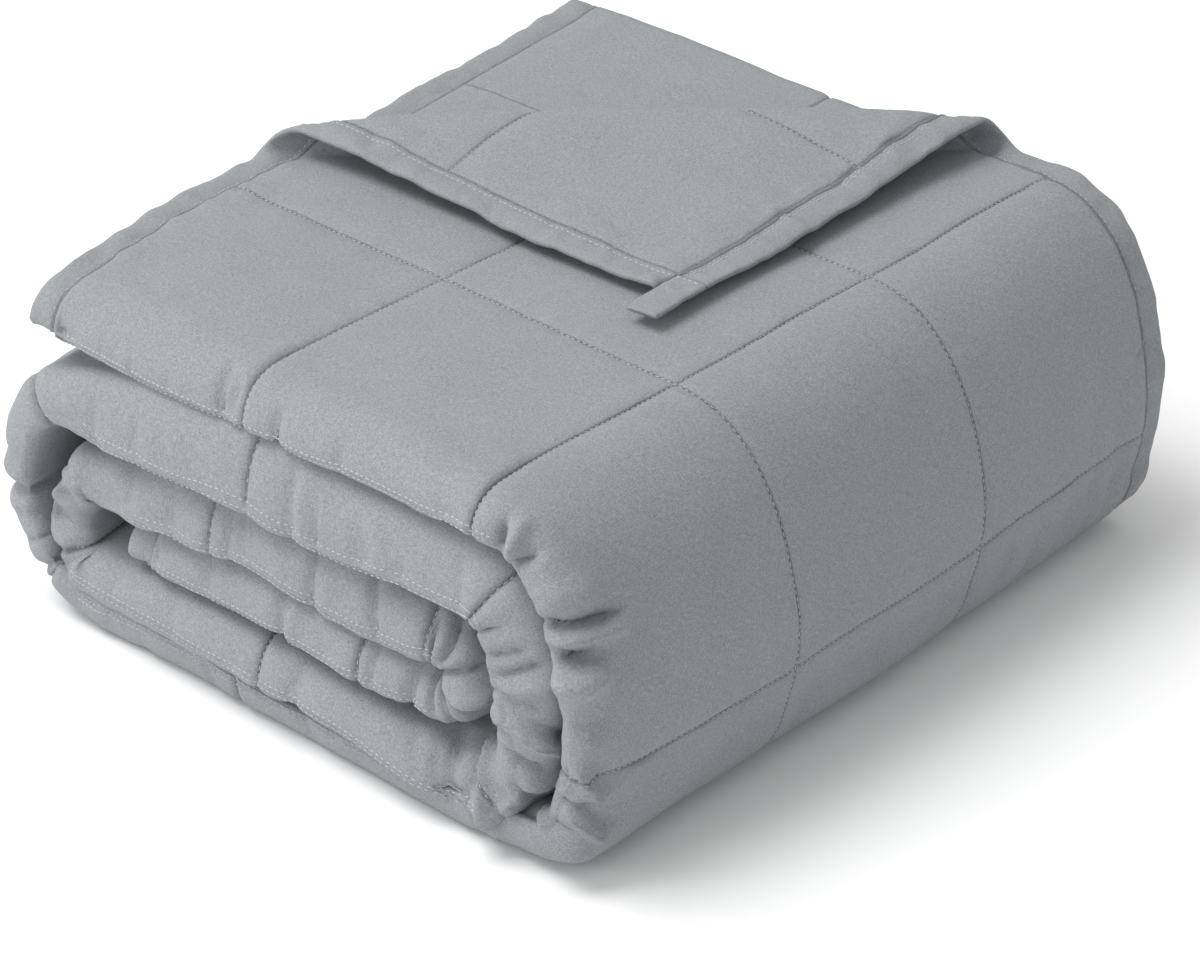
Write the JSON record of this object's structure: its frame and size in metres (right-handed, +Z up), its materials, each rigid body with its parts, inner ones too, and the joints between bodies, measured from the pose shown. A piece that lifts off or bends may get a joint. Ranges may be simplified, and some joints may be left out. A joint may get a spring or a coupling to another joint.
{
  "type": "folded weighted blanket",
  "caption": "Quilted weighted blanket with a bound edge, folded in thirds and rolled flat, one corner turned back with its flat loop.",
  "frame": {"origin": "centre of the footprint on the surface that the blanket lies on", "axes": "+Z up, +Y from the face that shows the creased folds to the face that shows the bound side edge, +X from the free end to the big rounded turn of the roll"},
  "size_m": [0.3802, 0.4186, 0.1924],
  "materials": {
    "quilted_cloth": "matt brushed cotton, mid grey",
    "binding_tape": "matt folded cotton tape, mid grey"
  },
  "bodies": {
    "root": {"quilt": "quilted_cloth", "binding_side": "binding_tape", "binding_side_inner": "binding_tape", "binding_end": "binding_tape", "binding_end_inner": "binding_tape", "corner_loop": "binding_tape"}
  },
  "joints": []
}
